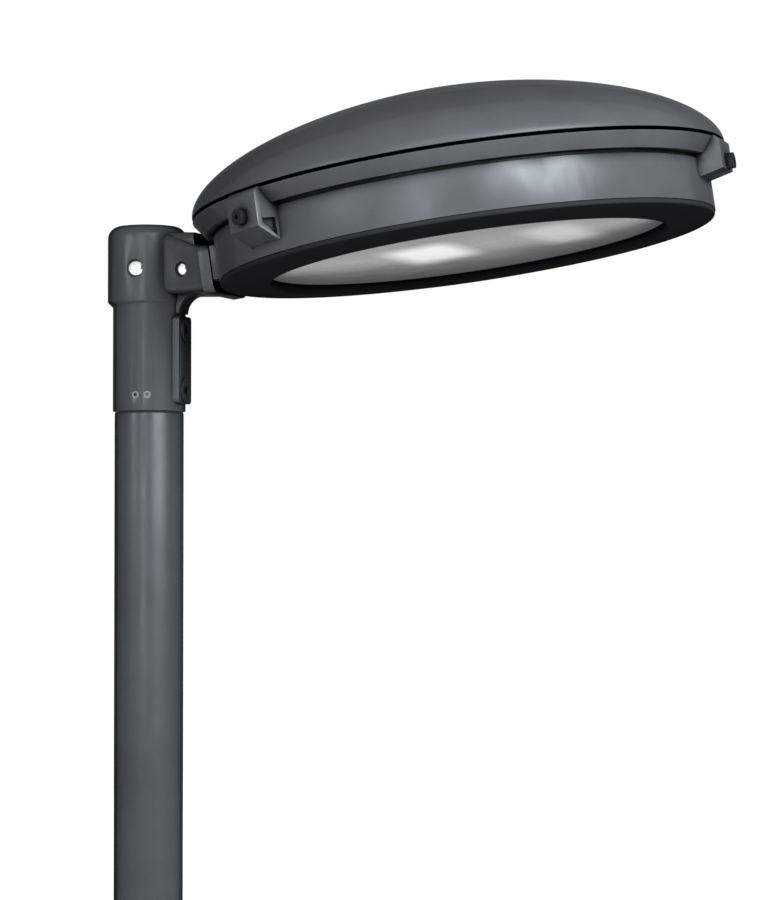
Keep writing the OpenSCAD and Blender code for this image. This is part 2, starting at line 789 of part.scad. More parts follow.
module led_board(x) {
    color(pale) in_head() translate([x, 0, 0]) difference() {
        translate([-module_w / 2, -module_l / 2, board_low_z]) cube([module_w, module_l, board_t]);
        each_lens_screw() translate([0, 0, board_low_z - eps])
            cylinder(d = lens_screw_d + 0.4, h = board_t + 2 * eps);
    }
}

module led_chips(x) {
    color([0.95, 0.85, 0.45]) in_head() translate([x, 0, 0]) each_led()
        translate([-chip_w / 2, -chip_w / 2, board_low_z - chip_h]) cube([chip_w, chip_w, chip_h]);
}

module lens_plate(x) {
    room = chip_w + 2 * chip_gap;
    w = module_w - 2 * lens_margin;
    l = module_l - 2 * lens_margin;
    color([0.9, 0.93, 0.95]) in_head() translate([x, 0, 0]) difference() {
        union() {
            translate([-w / 2, -l / 2, lens_low_z]) cube([w, l, lens_plate_t]);
            intersection() {
                each_led() translate([0, 0, lens_low_z + lens_d / 5]) sphere(d = lens_d, $fn = 32);
                translate([-w / 2, -l / 2, lens_low_z - lens_d]) cube([w, l, lens_d + eps]);
            }
        }
        each_led() translate([-room / 2, -room / 2, board_low_z - chip_h - chip_gap])
            cube([room, room, chip_h + chip_gap + eps]);
        each_lens_screw() translate([0, 0, lens_low_z - eps])
            cylinder(d = lens_screw_d + 0.4, h = lens_plate_t + 2 * eps);
    }
}

module lens_screws() {
    color(stainless) in_head() each_module() each_lens_screw()
        translate([0, 0, lens_low_z]) rotate([180, 0, 0])
            button_screw(lens_screw_d, 5.6, 1.8, lens_plate_t + board_t + sink_t - 2);
}

module each_standoff() {
    for (x = [-1, 1], y = [-1, 1]) translate([x * standoff_x, y * standoff_y, 0]) children();
}

module tray_standoffs() {
    color(stainless) in_head() each_standoff() difference() {
        union() {
            translate([0, 0, sink_top_z]) cylinder(d = standoff_d, h = tray_low_z - sink_top_z, $fn = 6);
            translate([0, 0, sink_top_z - 3.5]) cylinder(d = tray_screw_d, h = 4);
        }
        translate([0, 0, tray_low_z - 8]) cylinder(d = tray_screw_d + 2 * thread_gap, h = 9);
    }
}

module gear_tray() {
    color([0.7, 0.71, 0.72]) in_head() difference() {
        union() {
            translate([-tray_l / 2, -tray_w / 2, tray_low_z]) cube([tray_l, tray_w, tray_t]);
            for (y = [-1, 1]) translate([-tray_l / 2, y * (tray_w / 2 - tray_t / 2) - tray_t / 2, tray_low_z])
                cube([tray_l, tray_t, tray_fold]);
        }
        each_standoff() translate([0, 0, tray_low_z - eps])
            cylinder(d = tray_screw_d + 0.5, h = tray_t + 2 * eps);
        each_driver_screw() translate([0, 0, tray_low_z - eps])
            cylinder(d = tray_screw_d + 2 * thread_gap, h = tray_t + 2 * eps);
    }
}

module tray_screws() {
    color(stainless) in_head() each_standoff() translate([0, 0, tray_top_z])
        button_screw(tray_screw_d, 8, tray_screw_head_h, tray_t + 7);
}

module each_driver_screw() {
    for (x = [-1, 1]) translate([x * driver_screw_x, driver_y, 0]) children();
}

module driver() {
    body_l = driver_l - 2 * driver_foot_l;
    color([0.9, 0.9, 0.88]) in_head() difference() {
        union() {
            translate([-body_l / 2, driver_y - driver_w / 2, tray_top_z]) cube([body_l, driver_w, driver_h]);
            translate([-driver_l / 2, driver_y - driver_w / 4, tray_top_z])
                cube([driver_l, driver_w / 2, driver_foot_t]);
        }
        each_driver_screw() translate([0, 0, tray_top_z - eps])
            cylinder(d = tray_screw_d + 0.5, h = driver_foot_t + 2 * eps);
    }
}

module driver_screws() {
    color(stainless) in_head() each_driver_screw() translate([0, 0, tray_top_z + driver_foot_t])
        button_screw(tray_screw_d, 8, tray_screw_head_h, driver_foot_t + tray_t - 0.5);
}

module surge_protector() {
    color([0.85, 0.3, 0.2]) in_head()
        translate([surge_at[0] - surge_size[0] / 2, surge_at[1] - surge_size[1] / 2, tray_top_z])
            cube(surge_size);
}

module terminal_block() {
    step = terminal_size[0] / terminal_ways;
    color([0.92, 0.92, 0.9]) in_head()
        translate([terminal_at[0] - terminal_size[0] / 2, terminal_at[1] - terminal_size[1] / 2, tray_top_z])
            difference() {
                cube(terminal_size);
                for (i = [0:terminal_ways - 1]) {
                    translate([(i + 0.5) * step, terminal_size[1] / 2, 6]) cylinder(d = 5, h = 20);
                    translate([(i + 0.5) * step, -eps, 8]) rotate([-90, 0, 0])
                        cylinder(d = 5, h = terminal_size[1] + 2 * eps);
                }
            }
}

module cable_gland() {
    way = cable_way_d - 6;
    color([0.12, 0.12, 0.13]) in_head() translate([0, 0, cable_z]) difference() {
        union() {
            translate([-neck_face, 0, 0]) rotate([0, 90, 0])
                cylinder(d = cable_way_d, h = neck_face - neck_pad_in + eps);
            translate([-neck_pad_in, 0, 0]) rotate([0, 90, 0])
                cylinder(d = gland_flats, h = gland_head_l, $fn = 6);
        }
        translate([-neck_face - eps, 0, 0]) rotate([0, 90, 0]) cylinder(d = way, h = 60);
    }
}

post();
post_seal();
post_adapter();
hub_screw();
neck_screw();
sleeve_set_screws();
clamp_screws();
neck_gasket();
neck_bolts();
housing();
canopy();
canopy_gasket();
canopy_screws();
glass_frame();
front_glass();
glass_gasket();
frame_screws();
heat_sink();
heat_sink_screws();
reflector_plate();
reflector_screws();
led_board(module_xs[0]);  // led_board_a
led_board(module_xs[1]);  // led_board_b
led_chips(module_xs[0]);  // led_chips_a
led_chips(module_xs[1]);  // led_chips_b
lens_plate(module_xs[0]);  // lens_plate_a
lens_plate(module_xs[1]);  // lens_plate_b
lens_screws();
tray_standoffs();
gear_tray();
tray_screws();
driver();
driver_screws();
surge_protector();
terminal_block();
cable_gland();
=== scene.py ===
# Post top light: rounded castings, turned shells, finishes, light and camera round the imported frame
import math

import bmesh
import bpy
from mathutils import Matrix, Vector

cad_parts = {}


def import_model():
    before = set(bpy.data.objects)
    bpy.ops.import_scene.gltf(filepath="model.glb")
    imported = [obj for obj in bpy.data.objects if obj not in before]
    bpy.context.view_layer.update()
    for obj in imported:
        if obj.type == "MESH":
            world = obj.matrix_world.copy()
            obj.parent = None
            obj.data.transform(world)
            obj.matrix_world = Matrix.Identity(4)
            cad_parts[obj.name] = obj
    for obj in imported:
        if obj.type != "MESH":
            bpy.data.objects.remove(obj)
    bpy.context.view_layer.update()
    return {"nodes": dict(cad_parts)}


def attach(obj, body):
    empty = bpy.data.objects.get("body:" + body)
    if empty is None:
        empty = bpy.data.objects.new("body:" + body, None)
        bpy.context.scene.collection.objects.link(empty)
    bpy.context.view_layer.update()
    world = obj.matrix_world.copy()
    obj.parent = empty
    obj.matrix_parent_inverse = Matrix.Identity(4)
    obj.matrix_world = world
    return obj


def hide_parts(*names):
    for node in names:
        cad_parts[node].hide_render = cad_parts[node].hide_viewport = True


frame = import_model()
nodes = frame["nodes"]

# Sizes of the model, in millimetres, as in the part's source. Heights below the canopy's lower
# edge are negative, and are measured in the head's own frame.
MM = 0.001
POST_R = 38.0
POST_WALL = 3.0
POST_LEN = 598.0
SPIGOT_R = 30.0
SPIGOT_LEN = 138.0
SHOULDER_T = 8.0
SEAL_T = 2.0
ADAPTER_H = 204.0
NECK_REACH = 70.2
NEAR_EDGE_DROP = 6.6
HEAD_TILT = math.radians(8.5)
RIM_R = 288.0
HUB_TOP = POST_LEN + SEAL_T + ADAPTER_H
HEAD_REACH = NECK_REACH + RIM_R * math.cos(HEAD_TILT)
HEAD_Z = HUB_TOP - NEAR_EDGE_DROP + RIM_R * math.sin(HEAD_TILT)
CANOPY_H = 99.0
CANOPY_WALL = 3.0
CROWN_POWER = 1.7
SHOULDER_POWER = 1.85
CANOPY_EDGE = ((0.0, 0.8), (0.3, 0.2), (0.9, 0.0))  # inset and height of the rounded lower edge
RIM_IN_R = 255.0
RIM_T = 4.0
RIM_CORNER = 0.6
INNER_LOW = 4.5
DRUM_LOW = -70.0
FRAME_R = 267.0
FRAME_OUTER_Z = -75.2
FRAME_INNER_Z = -81.7
FRAME_RECESS_Z = -75.0
FRAME_LIP_W = 7.0
OPENING_R = 215.0
GLASS_R = 236.0
GLASS_GAP = 1.5
GLASS_LOW = -69.0
GLASS_T = 5.0
GLASS_ROUND = 0.8
HOUSING_ROUND = 0.8
ADAPTER_ROUND = 1.2

# Fineness of the meshes: facets round a turned piece, steps in an outline, limits of an edge
SHELL_FACETS = 256
GLASS_FACETS = 192
POST_FACETS = 128
OUTER_STEPS = 72
INNER_STEPS = 36
BEVEL_SEGMENTS = 3
TURNED_EDGE = math.radians(32)
CAST_EDGE = math.radians(30)
FACET_SPAN = math.radians(7.0)
FACET_LEAN = 0.012
SAME_PLANE = math.radians(0.05)
SAME_POINT = 2e-6
ON_AXIS = 1e-6
FILLET_SHARE = 0.49

# The head's own frame: its origin is the middle of the canopy's lower edge
HEAD = Matrix.Translation(Vector((HEAD_REACH, 0, HEAD_Z)) * MM) @ Matrix.Rotation(
    -HEAD_TILT, 4, "Y"
)
UPRIGHT = Matrix.Identity(4)


# Mesh helpers
def new_piece(name, bm, sharp=TURNED_EDGE):
    """A smooth-shaded object from the mesh, with hard edges above the sharp angle."""
    mesh = bpy.data.meshes.new(name)
    bmesh.ops.recalc_face_normals(bm, faces=bm.faces)
    bm.to_mesh(mesh)
    bm.free()
    mesh.shade_smooth()
    mesh.set_sharp_from_angle(angle=sharp)
    obj = bpy.data.objects.new(name, mesh)
    bpy.context.scene.collection.objects.link(obj)
    return obj


def rounded_outline(corners, steps):
    """A closed outline in (r, z): each corner is (r, z, fillet) and fillets become arcs."""
    out = []
    for i, (r, z, fillet) in enumerate(corners):
        if fillet <= 0:
            out.append((r, z))
            continue
        here = Vector((r, z))
        before = Vector(corners[i - 1][:2]) - here
        after = Vector(corners[(i + 1) % len(corners)][:2]) - here
        half = before.angle(after) / 2
        longest = FILLET_SHARE * min(before.length, after.length)
        reach = min(fillet / math.tan(half), longest)
        radius = reach * math.tan(half)
        bisector = (before.normalized() + after.normalized()).normalized()
        middle = here + bisector * (radius / math.sin(half))
        start = here + before.normalized() * reach - middle
        end = here + after.normalized() * reach - middle
        turn = start.angle_signed(end)
        for k in range(steps + 1):
            out.append(tuple(middle + Matrix.Rotation(-turn * k / steps, 2) @ start))
    return out


def lathe(name, outline, facets, place=HEAD):
    """Turns a closed outline in (r, z), in millimetres, round the Z axis of place."""
    bm = bmesh.new()
    rings = []
    for r, z in outline:
        if r < ON_AXIS:
            rings.append([bm.verts.new(place @ Vector((0, 0, z * MM)))])
            continue
        ring = []
        for k in range(facets):
            a = 2 * math.pi * k / facets
            ring.append(bm.verts.new(place @ (Vector((r * math.cos(a), r * math.sin(a), z)) * MM)))
        rings.append(ring)
    for one, two in zip(rings, rings[1:] + rings[:1]):
        if len(one) == 1 and len(two) == 1:
            continue
        for k in range(facets):
            n = (k + 1) % facets
            corners = [one[k % len(one)], one[n % len(one)], two[n % len(two)], two[k % len(two)]]
            unique = list(dict.fromkeys(corners))
            if len(unique) > 2:
                bm.faces.new(unique)
    return new_piece(name, bm)


def turned_normals(mesh, axis):
    """Evens the shading of the facets that were turned round the Z axis of the matrix."""
    inverse = axis.inverted()
    normals = [corner.vector.copy() for corner in mesh.corner_normals]

    def tangent_at(place):
        return (axis.to_3x3() @ Vector((-place.y, place.x, 0))).normalized()

    for face in mesh.polygons:
        places = [inverse @ mesh.vertices[v].co for v in face.vertices]
        turns = [math.atan2(p.y, p.x) for p in places]
        lean = abs(face.normal.dot(tangent_at(inverse @ face.center)))
        if max(turns) - min(turns) > FACET_SPAN or lean > FACET_LEAN:
            continue
        for corner in face.loop_indices:
            place = inverse @ mesh.vertices[mesh.loops[corner].vertex_index].co
            tangent = tangent_at(place)
            flat = normals[corner] - tangent * normals[corner].dot(tangent)
            normals[corner] = flat.normalized()
    mesh.normals_split_custom_set(normals)


def bevelled_copy(node, name, width, axis):
    """The CAD node's own shape with its sharp edges rounded."""
    bm = bmesh.new()
    bm.from_mesh(nodes[node].data)
    bmesh.ops.remove_doubles(bm, verts=bm.verts, dist=SAME_POINT)
    bmesh.ops.dissolve_limit(bm, angle_limit=SAME_PLANE, verts=bm.verts, edges=bm.edges)
    sharp = [e for e in bm.edges if len(e.link_faces) == 2 and e.calc_face_angle(0) > CAST_EDGE]
    bmesh.ops.bevel(
        bm,
        geom=sharp,
        offset=width * MM,
        segments=BEVEL_SEGMENTS,
        profile=0.5,
        affect="EDGES",
        clamp_overlap=True,
    )
    obj = new_piece(name, bm, CAST_EDGE)
    turned_normals(obj.data, axis)
    return obj


# Node helpers. A noise is (scale in features per metre, detail, roughness).
NOISE_SPAN = (0.3, 0.7)  # the range that most values of a noise fall in
MIX_ONE, MIX_TWO, MIX_RESULT = 6, 7, 2  # the colour sockets of a Mix node
EDGE_RADIUS = 0.0012
EDGE_SPAN = (0.99, 0.80)
# how far the painted shade in grooves and tight corners reaches, and how strong it is
CREVICE_SHADE_REACH = 0.014
CREVICE_SHADE_SPAN = (0.92, 0.5)
UPWARD_SPAN = (0.2, 1.0)


def shader(name, **sockets):
    """A new material and its node tree, with the even values set on the shader's own sockets."""
    material = bpy.data.materials.new(name)
    material.use_nodes = True
    principled = material.node_tree.nodes["Principled BSDF"]
    for socket, value in sockets.items():
        principled.inputs[socket.replace("_", " ")].default_value = value
    return material, material.node_tree, principled


def add(tree, kind, sockets=(), **attributes):
    """A new node with its attributes and the values of its sockets."""
    node = tree.nodes.new(kind)
    for key, value in attributes.items():
        setattr(node, key, value)
    for socket, value in dict(sockets).items():
        node.inputs[socket].default_value = value
    return node


def feed(tree, value, socket):
    """Links an output to the socket, or sets the socket's own value."""
    if isinstance(value, bpy.types.NodeSocket):
        tree.links.new(value, socket)
    else:
        socket.default_value = value


def calculate(tree, operation, *values):
    node = add(tree, "ShaderNodeMath", operation=operation)
    for socket, value in zip(node.inputs, values):
        feed(tree, value, socket)
    return node.outputs["Value"]


def noise(tree, scale, detail=3.0, roughness=0.5, stretch=None):
    coords = add(tree, "ShaderNodeTexCoord")
    source = coords.outputs["Object"]
    if stretch:
        mapping = add(tree, "ShaderNodeMapping", {"Scale": stretch})
        tree.links.new(source, mapping.inputs["Vector"])
        source = mapping.outputs["Vector"]
    values = {"Scale": scale, "Detail": detail, "Roughness": roughness}
    texture = add(tree, "ShaderNodeTexNoise", values)
    tree.links.new(source, texture.inputs["Vector"])
    return texture.outputs["Fac"]


def remap(tree, source, low, high, to_low, to_high, **attributes):
    ends = {"From Min": low, "From Max": high, "To Min": to_low, "To Max": to_high}
    node = add(tree, "ShaderNodeMapRange", ends, **attributes)
    tree.links.new(source, node.inputs["Value"])
    return node.outputs["Result"]


def varied(tree, texture, low, high, span=NOISE_SPAN):
    """A noise whose values in the span run from low to high."""
    return remap(tree, noise(tree, *texture), *span, low, high)


def blend_colour(tree, factor, one, two):
    node = add(tree, "ShaderNodeMix", data_type="RGBA")
    tree.links.new(factor, node.inputs["Factor"])
    for index, value in ((MIX_ONE, one), (MIX_TWO, two)):
        feed(tree, (*value, 1) if isinstance(value, tuple) else value, node.inputs[index])
    return node.outputs[MIX_RESULT]


def shade(colour, factor, lift=0.0):
    """The colour made darker or lighter."""
    return tuple(min(1, c * factor + lift) for c in colour)


def edge_mask(tree):
    """Near 1 on worn outer edges: where a rounded normal leaves the true one."""
    soft = add(tree, "ShaderNodeBevel", {"Radius": EDGE_RADIUS}, samples=4)
    true = add(tree, "ShaderNodeNewGeometry")
    dot = add(tree, "ShaderNodeVectorMath", operation="DOT_PRODUCT")
    tree.links.new(soft.outputs["Normal"], dot.inputs[0])
    tree.links.new(true.outputs["Normal"], dot.inputs[1])
    return remap(tree, dot.outputs["Value"], *EDGE_SPAN, 0.0, 1.0)


def painted_crevice_shade(tree):
    """Near 1 in grooves and tight corners: a mask for painted shade, where light doesn't reach."""
    hollow = add(tree, "ShaderNodeAmbientOcclusion", {"Distance": CREVICE_SHADE_REACH}, samples=6)
    return remap(tree, hollow.outputs["AO"], *CREVICE_SHADE_SPAN, 0.0, 1.0)


def upward_mask(tree):
    """Near 1 on faces that look up, where dust settles."""
    geometry = add(tree, "ShaderNodeNewGeometry")
    split = add(tree, "ShaderNodeSeparateXYZ")
    tree.links.new(geometry.outputs["Normal"], split.inputs["Vector"])
    return remap(tree, split.outputs["Z"], *UPWARD_SPAN, 0.0, 1.0)


def dress(tree, principled, base, rough, height, strength, depth):
    """Feeds the shader its colour and its roughness, and a bump of that strength and depth."""
    tree.links.new(base, principled.inputs["Base Color"])
    tree.links.new(rough, principled.inputs["Roughness"])
    bump = add(tree, "ShaderNodeBump", {"Strength": strength, "Distance": depth})
    tree.links.new(height, bump.inputs["Height"])
    tree.links.new(bump.outputs["Normal"], principled.inputs["Normal"])


# Materials
STAINS = (7.0, 5.0, 0.6)
SPECKLE = (2600.0, 1.0)
SPECKLE_SPAN = (0.56, 0.74)
DUST = (16.0, 6.0, 0.65)
DUST_SPAN = (0.35, 0.8)
DUST_COLOUR = (0.24, 0.24, 0.23)
WEAR = (60.0, 4.0)
WEAR_SPAN = (0.35, 0.7)
SMEARS = (22.0, 5.0, 0.6)
DIM_GLOSS = (0.02, 0.02, 0.02, 1)


def powder_coat(name, colour, rough=0.33, metallic=0.29, grain=1100.0, peel=0.12):
    """Satin powder coat: orange peel, a fine metallic speckle, soft stains, pale edges, and painted
    shade in grooves and tight corners.
    """
    material, tree, principled = shader(
        name, Metallic=metallic, Specular_IOR_Level=0.0, Specular_Tint=DIM_GLOSS
    )
    base = blend_colour(
        tree, varied(tree, STAINS, 0.0, 1.0), shade(colour, 0.86), shade(colour, 1.16)
    )
    speck = varied(tree, SPECKLE, 0.0, 0.35, SPECKLE_SPAN)
    base = blend_colour(tree, speck, base, shade(colour, 2.0, 0.02))
    dust = varied(tree, DUST, 0.02, 0.12, DUST_SPAN)
    dust = calculate(tree, "MULTIPLY", upward_mask(tree), dust)
    base = blend_colour(tree, dust, base, DUST_COLOUR)
    wear = varied(tree, WEAR, 0.1, 0.45, WEAR_SPAN)
    wear = calculate(tree, "MULTIPLY", edge_mask(tree), wear)
    base = blend_colour(tree, wear, base, shade(colour, 2.2, 0.03))
    # painted shade: grooves and tight corners go almost black
    base = blend_colour(tree, painted_crevice_shade(tree), base, shade(colour, 0.08))
    smears = varied(tree, SMEARS, rough - 0.05, rough + 0.07)
    dress(tree, principled, base, smears, noise(tree, grain, 2.0), peel, 0.0003)
    return material


def rubber(name, colour, rough=0.75):
    """Matt rubber, a little uneven in colour and grain."""
    material, tree, principled = shader(name, Specular_IOR_Level=0.3)
    base = blend_colour(tree, noise(tree, 90.0, 4.0), shade(colour, 0.7), shade(colour, 1.4))
    grain = varied(tree, (300.0,), rough - 0.1, rough + 0.1)
    dress(tree, principled, base, grain, noise(tree, 1500.0, 2.0), 0.2, 0.0002)
    return material


def steel(name, colour, rough):
    """Stainless steel with fine turning marks and a few smudges."""
    material, tree, principled = shader(name, Metallic=1.0)
    base = blend_colour(tree, noise(tree, 120.0, 4.0), shade(colour, 0.85), colour)
    marks = noise(tree, 900.0, 3.0, 0.6, stretch=(1.0, 1.0, 6.0))
    gloss = remap(tree, marks, *NOISE_SPAN, rough - 0.08, rough + 0.12)
    dress(tree, principled, base, gloss, marks, 0.08, 0.0001)
    return material


def cast_aluminium(name, colour):
    """Bare or galvanised metal with a cast skin."""
    material, tree, principled = shader(name, Metallic=0.85)
    base = blend_colour(tree, noise(tree, 40.0, 6.0, 0.6), shade(colour, 0.8), colour)
    gloss = varied(tree, (200.0, 4.0), 0.38, 0.6)
    dress(tree, principled, base, gloss, noise(tree, 700.0, 4.0, 0.6), 0.25, 0.0003)
    return material


def plastic(name, colour, rough):
    """Moulded plastic or a painted board, slightly stained."""
    material, tree, principled = shader(name, Specular_IOR_Level=0.45)
    base = blend_colour(tree, noise(tree, 30.0, 4.0), shade(colour, 0.92), colour)
    gloss = varied(tree, (150.0,), rough - 0.05, rough + 0.08)
    dress(tree, principled, base, gloss, noise(tree, 600.0, 2.0), 0.1, 0.0002)
    return material


def clear(name, colour, stained, rough):
    """Clear plastic with a thin uneven haze, and the colour that its stains have."""
    material, tree, principled = shader(name, Transmission_Weight=1.0, IOR=1.5)
    base = blend_colour(tree, noise(tree, 12.0, 5.0, 0.6), stained, colour)
    tree.links.new(base, principled.inputs["Base Color"])
    haze = varied(tree, (25.0, 5.0), rough - 0.05, rough + 0.05)
    tree.links.new(haze, principled.inputs["Roughness"])
    return material


# Painted glow on the frosted pane, though the LEDs give no light: two zones where the modules lie
# behind it, and a faint glow elsewhere.
# Centre and half size of the zones in the head's frame, in millimetres, and the width of the soft
# border
NEAR_PAINTED_GLOW = ((-42, 4), (34, 66))
FAR_PAINTED_GLOW = ((97, 30), (27, 76))
PAINTED_GLOW_BORDER = (17, 34)
FAR_PAINTED_GLOW_LEVEL = 0.45
HAZE_DARK = (0.1, 0.104, 0.102)
HAZE_LIGHT = (0.13, 0.134, 0.132)
# painted glow: paler colour in the zones, and the emission colour and strength outside and inside
# them
PAINTED_GLOW_COLOUR = (0.93, 0.94, 0.93)
PAINTED_GLOW_LIGHT = (1.0, 1.0, 0.99, 1)
PAINTED_GLOW_STRENGTH = (0.06, 0.36)


def painted_glow_zone(tree, local, centre, half):
    """Mask of one painted-glow zone: 1 inside a rectangle of the pane and 0 beyond its soft border,
    in the head's own frame.
    """
    split = add(tree, "ShaderNodeSeparateXYZ")
    tree.links.new(local, split.inputs["Vector"])
    sides = []
    for axis, (middle, reach, soft) in enumerate(zip(centre, half, PAINTED_GLOW_BORDER)):
        shift = calculate(tree, "SUBTRACT", split.outputs[axis], middle * MM)
        ends = ((reach - soft) * MM, (reach + soft) * MM, 1.0, 0.0)
        size = calculate(tree, "ABSOLUTE", shift)
        sides.append(remap(tree, size, *ends, interpolation_type="SMOOTHSTEP"))
    return calculate(tree, "MULTIPLY", *sides)


def frosted_pane(name):
    """Frosted glass: a pale haze, fine speckle, a faint painted glow all over, and two zones of
    brighter painted glow and paler colour where the modules lie behind it.
    """
    material, tree, principled = shader(
        name, Transmission_Weight=0.03, IOR=1.13, Emission_Color=PAINTED_GLOW_LIGHT
    )
    coords = add(tree, "ShaderNodeTexCoord")
    inverse = HEAD.inverted()
    place = {"Rotation": inverse.to_euler(), "Location": inverse.to_translation()}
    turned = add(tree, "ShaderNodeMapping", place)
    tree.links.new(coords.outputs["Object"], turned.inputs["Vector"])
    local = turned.outputs["Vector"]
    # painted glow: the pane emits light faintly all over and more in the two zones, and is paler
    # there
    far = calculate(tree, "MULTIPLY", painted_glow_zone(tree, local, *FAR_PAINTED_GLOW), FAR_PAINTED_GLOW_LEVEL)
    glow = calculate(tree, "MAXIMUM", painted_glow_zone(tree, local, *NEAR_PAINTED_GLOW), far)
    light = remap(tree, glow, 0.0, 1.0, *PAINTED_GLOW_STRENGTH)
    tree.links.new(light, principled.inputs["Emission Strength"])
    haze = blend_colour(tree, noise(tree, 14.0, 4.0, 0.6), HAZE_DARK, HAZE_LIGHT)
    base = blend_colour(tree, glow, haze, PAINTED_GLOW_COLOUR)
    frost = varied(tree, (18.0, 4.0), 0.19, 0.25)
    dress(tree, principled, base, frost, noise(tree, 1800.0, 2.0), 0.05, 0.0001)
    return material


GRAPHITE = (0.079, 0.087, 0.0945)
# the head's graphite paint made darker: painted shade for the post and the adapter
GRAPHITE_SHADED = (0.058, 0.065, 0.071)
GRAPHITE_DARK = (0.025, 0.028, 0.031)
LENS = (0.95, 0.97, 0.98)
POST_GLOSS = {"rough": 0.37, "metallic": 0.5}
coat_head = powder_coat("coat_head", GRAPHITE)
coat_canopy = powder_coat("coat_canopy", GRAPHITE)
# the post and the adapter take the darker graphite as painted shade
coat_post = powder_coat("coat_post", GRAPHITE_SHADED, **POST_GLOSS, grain=900.0)
coat_adapter = powder_coat("coat_adapter", GRAPHITE_SHADED, **POST_GLOSS, grain=800.0, peel=0.18)
coat_frame = powder_coat("coat_frame", GRAPHITE_DARK, rough=0.55, metallic=0.0)
coat_screw = powder_coat("coat_screw", GRAPHITE_DARK, rough=0.35)
black_rubber = rubber("black_rubber", (0.012, 0.012, 0.012))
pale_silicone = rubber("pale_silicone", (0.55, 0.55, 0.54), rough=0.6)
stainless = steel("stainless", (0.62, 0.63, 0.64), rough=0.28)
dull_steel = steel("dull_steel", (0.13, 0.14, 0.145), rough=0.4)
bright_steel = steel("bright_steel", (0.8, 0.81, 0.82), rough=0.22)
sink_metal = cast_aluminium("sink_metal", (0.5, 0.51, 0.52))
galvanised = cast_aluminium("galvanised", (0.55, 0.56, 0.57))
white_coat = plastic("white_coat", (0.78, 0.78, 0.76), rough=0.45)
board_white = plastic("board_white", (0.72, 0.75, 0.72), rough=0.35)
phosphor = plastic("phosphor", (0.8, 0.62, 0.12), rough=0.3)
driver_white = plastic("driver_white", (0.75, 0.75, 0.73), rough=0.4)
surge_red = plastic("surge_red", (0.45, 0.06, 0.03), rough=0.4)
gland_black = plastic("gland_black", (0.02, 0.02, 0.02), rough=0.45)
lens_clear = clear("lens_clear", LENS, stained=LENS, rough=0.06)
front_frosted = frosted_pane("front_frosted")


def finish_with(obj, material):
    obj.data.materials.clear()
    obj.data.materials.append(material)


def stands_for(obj, node, material):
    """The piece takes the place of the node, which is hidden, with the given finish, on the root
    body.
    """
    finish_with(obj, material)
    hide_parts(node)
    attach(obj, "root")


# Turned pieces
def crown_outline(radius, height, steps):
    """The domed line of the canopy from its top to its edge, as (r, z)."""
    out = []
    for k in range(steps + 1):
        share = math.sin(math.pi / 2 * k / steps)
        fall = max(0.0, 1 - share**CROWN_POWER) ** (1 / SHOULDER_POWER)
        out.append((radius * share, height * fall))
    return out


def canopy():
    outer = crown_outline(RIM_R, CANOPY_H, OUTER_STEPS)[:-1]
    outer += [(RIM_R - inset, height) for inset, height in CANOPY_EDGE]
    shell_r = RIM_R - CANOPY_WALL
    rim = [(RIM_IN_R, 0.0), (RIM_IN_R, RIM_T), (shell_r - RIM_CORNER, RIM_T)]
    inner = crown_outline(shell_r, CANOPY_H - CANOPY_WALL, INNER_STEPS)
    inner = [p for p in reversed(inner) if p[1] > INNER_LOW]
    piece = lathe("canopy_shell", outer + rim + inner, SHELL_FACETS)
    stands_for(piece, "canopy", coat_canopy)


def glass_frame():
    seat_r = GLASS_R + GLASS_GAP
    lip_r = OPENING_R + FRAME_LIP_W
    corners = [
        (OPENING_R, FRAME_INNER_Z, 2.2),
        (FRAME_R, FRAME_OUTER_Z, 6.5),
        (FRAME_R, DRUM_LOW, 0.6),
        (seat_r, DRUM_LOW, 0.5),
        (seat_r, FRAME_RECESS_Z, 1.0),
        (lip_r, FRAME_RECESS_Z, 1.0),
        (lip_r, GLASS_LOW, 0.5),
        (OPENING_R, GLASS_LOW, 0.8),
    ]
    piece = lathe("glass_frame_ring", rounded_outline(corners, steps=8), SHELL_FACETS)
    stands_for(piece, "glass_frame", coat_frame)


def front_glass():
    glass_top = GLASS_LOW + GLASS_T
    corners = [
        (0, GLASS_LOW, 0),
        (GLASS_R, GLASS_LOW, GLASS_ROUND),
        (GLASS_R, glass_top, GLASS_ROUND),
        (0, glass_top, 0),
    ]
    piece = lathe("front_glass_pane", rounded_outline(corners, steps=3), GLASS_FACETS)
    stands_for(piece, "front_glass", front_frosted)


def post():
    bore_r = POST_R - POST_WALL
    spigot_bore_r = SPIGOT_R - POST_WALL
    spigot_top = POST_LEN + SPIGOT_LEN
    shoulder_low = POST_LEN - SHOULDER_T
    corners = [
        (bore_r, 0, 0.4),
        (POST_R, 0, 0.4),
        (POST_R, POST_LEN, 0.8),
        (SPIGOT_R, POST_LEN, 0.5),
        (SPIGOT_R, spigot_top, 0.8),
        (spigot_bore_r, spigot_top, 0.4),
        (spigot_bore_r, shoulder_low, 1.0),
        (bore_r, shoulder_low, 1.0),
    ]
    piece = lathe("post_tube", rounded_outline(corners, steps=4), POST_FACETS, UPRIGHT)
    stands_for(piece, "post", coat_post)


def castings():
    housing = bevelled_copy("housing", "housing_casting", HOUSING_ROUND, HEAD)
    stands_for(housing, "housing", coat_head)
    adapter = bevelled_copy("post_adapter", "adapter_casting", ADAPTER_ROUND, UPRIGHT)
    stands_for(adapter, "post_adapter", coat_adapter)


canopy()
glass_frame()
front_glass()
post()
castings()

